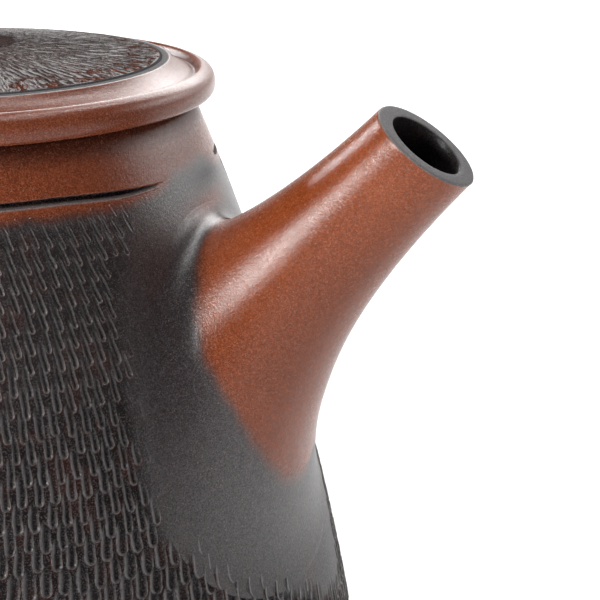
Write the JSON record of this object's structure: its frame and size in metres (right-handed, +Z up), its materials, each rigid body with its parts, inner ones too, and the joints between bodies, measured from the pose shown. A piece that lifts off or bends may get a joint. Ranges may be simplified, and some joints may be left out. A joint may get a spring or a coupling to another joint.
{
  "type": "lidded pouring pot",
  "caption": "Round lidded stoneware pouring pot with a conical body, a stout flared spout, a rear loop handle and a lift-off lid.",
  "frame": {"origin": "middle of the flat foot, on the surface the pot stands on, on the pot's axis", "axes": "+Z up along the pot's axis, +X towards the spout, so the handle is towards -X"},
  "size_m": [0.1517, 0.1078, 0.1069],
  "materials": {
    "body_clay": "satin unglazed stoneware, smoke-blackened over red-brown",
    "spout_clay": "satin unglazed red-brown stoneware",
    "handle_clay": "satin unglazed stoneware, red-brown to black",
    "lid_clay": "satin unglazed red-brown stoneware with a blackened chattered disc",
    "knob_clay": "satin unglazed blackened stoneware"
  },
  "bodies": {
    "pot": {"pot_body": "body_clay", "spout": "spout_clay", "handle": "handle_clay"},
    "lid": {"lid": "lid_clay", "lid_knob": "knob_clay"}
  },
  "joints": [
    {"name": "lid_lift", "type": "slide", "parent": "pot", "child": "lid", "axis": [0, 0, 1], "range_m": [0, 0.06]}
  ]
}
